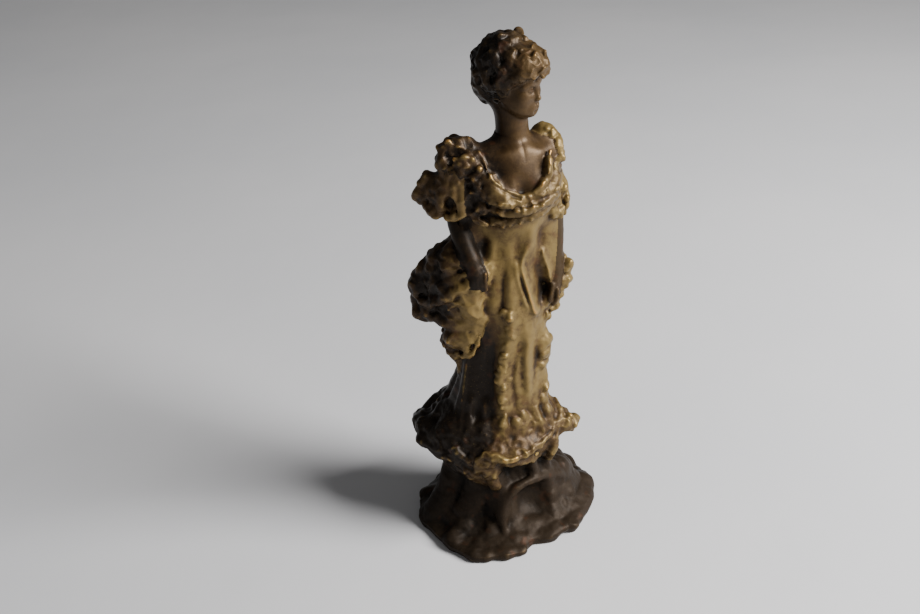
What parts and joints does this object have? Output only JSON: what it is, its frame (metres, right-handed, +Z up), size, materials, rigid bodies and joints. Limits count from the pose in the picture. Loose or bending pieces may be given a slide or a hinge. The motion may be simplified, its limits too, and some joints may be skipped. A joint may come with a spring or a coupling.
{
  "type": "bronze statuette",
  "caption": "Small Art Nouveau bronze of a standing lady holding up her gathered gown, on a rock mound and a thin lobed plate.",
  "frame": {"origin": "on the table the statuette stands on, in the middle of its whole outline seen from above; the tie rod's axis is 1 mm towards +X and 3.7 mm towards -Y", "axes": "+Z up; -Y towards the side it is looked at from, which the lady's body half faces; +X to the viewer's right, where the lady's face looks"},
  "size_m": [0.0889, 0.0992, 0.2484],
  "materials": {
    "bronze_gown": "brown-green patina with rubbed golden highlights, matte to satin",
    "bronze_flesh": "smooth olive-brown patina, satin",
    "bronze_base": "near-black brown patina with reddish spots, satin",
    "steel": "plain turned steel, slightly tarnished",
    "brass_fittings": "plain brass"
  },
  "bodies": {
    "root": {"base_plate": "bronze_base", "rock_mound": "bronze_base", "hem_flounce": "bronze_gown", "skirt": "bronze_gown", "right_pannier": "bronze_gown", "left_pannier": "bronze_gown", "right_pannier_tail": "bronze_gown", "bodice": "bronze_gown", "bertha_collar": "bronze_gown", "bust": "bronze_flesh", "head": "bronze_flesh", "right_arm": "bronze_flesh", "left_arm": "bronze_flesh", "right_shoulder_bow": "bronze_gown", "left_shoulder_bow": "bronze_gown", "right_sleeve_ruffle": "bronze_gown", "left_sleeve_ruffle": "bronze_gown", "neck_pins": "brass_fittings", "bust_pins": "brass_fittings", "waist_pins": "brass_fittings", "arm_pins": "brass_fittings", "pannier_pins": "brass_fittings", "hem_pins": "brass_fittings", "mound_dowels": "brass_fittings", "bridge_bar": "steel", "tie_rod": "steel", "tie_nut": "brass_fittings", "tie_washer": "steel"}
  },
  "joints": []
}
